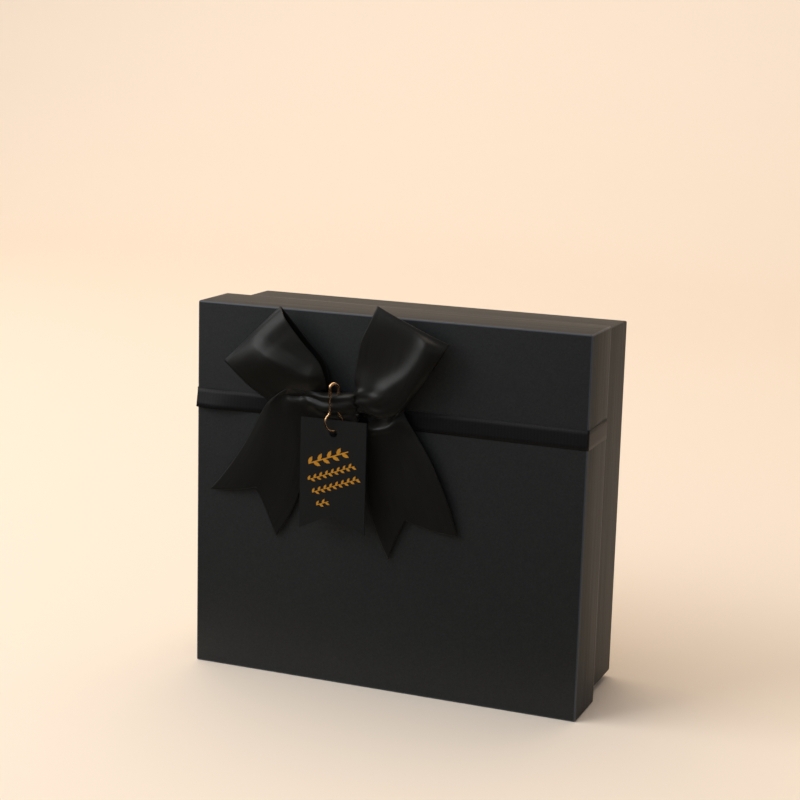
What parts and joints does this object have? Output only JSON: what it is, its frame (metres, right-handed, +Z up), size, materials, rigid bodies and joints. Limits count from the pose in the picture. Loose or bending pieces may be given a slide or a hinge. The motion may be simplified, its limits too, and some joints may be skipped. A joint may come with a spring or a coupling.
{
  "type": "gift box",
  "caption": "Rigid lift-off-lid gift box in black paper, standing on its side, with a ribbon band, a satin bow, a pear pin and a swing tag.",
  "frame": {"origin": "centre of the lid's lower skirt face, on the surface that the box stands on", "axes": "+Z up, +X to the right along the box's width, +Y from the lid's front towards the base's back"},
  "size_m": [0.2006, 0.088, 0.19],
  "materials": {
    "greyboard": "matte",
    "stay_tape": "matte",
    "black_wrap_paper": "matte",
    "black_lining": "matte",
    "band_ribbon": "satin",
    "satin_ribbon": "satin",
    "glue": "gloss",
    "copper_plate": "polished",
    "tag_card": "matte",
    "gold_foil": "gloss"
  },
  "bodies": {
    "base": {"base_panel_board": "greyboard", "base_top_wall_board": "greyboard", "base_bottom_wall_board": "greyboard", "base_left_wall_board": "greyboard", "base_right_wall_board": "greyboard", "base_corner_stays": "stay_tape", "base_wrap_paper": "black_wrap_paper", "base_turn_in_paper": "black_wrap_paper", "base_lining": "black_lining"},
    "lid": {"lid_panel_board": "greyboard", "lid_top_wall_board": "greyboard", "lid_bottom_wall_board": "greyboard", "lid_left_wall_board": "greyboard", "lid_right_wall_board": "greyboard", "lid_corner_stays": "stay_tape", "lid_wrap_paper": "black_wrap_paper", "lid_turn_in_paper": "black_wrap_paper", "lid_lining": "black_lining", "band_ribbon": "band_ribbon", "bow_glue_spot": "glue", "bow_left_tail": "satin_ribbon", "bow_right_tail": "satin_ribbon", "bow_left_loop": "satin_ribbon", "bow_right_loop": "satin_ribbon", "bow_knot": "satin_ribbon"},
    "pin": {"pin_wire": "copper_plate", "pin_cap": "copper_plate"},
    "tag": {"tag_card": "tag_card", "tag_foil": "gold_foil"}
  },
  "joints": [
    {"name": "lid_lift_off", "type": "slide", "parent": "base", "child": "lid", "axis": [0, -1, 0], "range_m": [0, 0.06]},
    {"name": "pin_turn", "type": "hinge", "parent": "lid", "child": "pin", "pos_m": [-0.02, -0.025, 0.1429], "axis": [0, 0, 1], "range_deg": [-8, 8]},
    {"name": "tag_swing", "type": "hinge", "parent": "pin", "child": "tag", "pos_m": [-0.02151, -0.02646, 0.12933], "axis": [0, 1, 0], "range_deg": [-20, 20]}
  ]
}
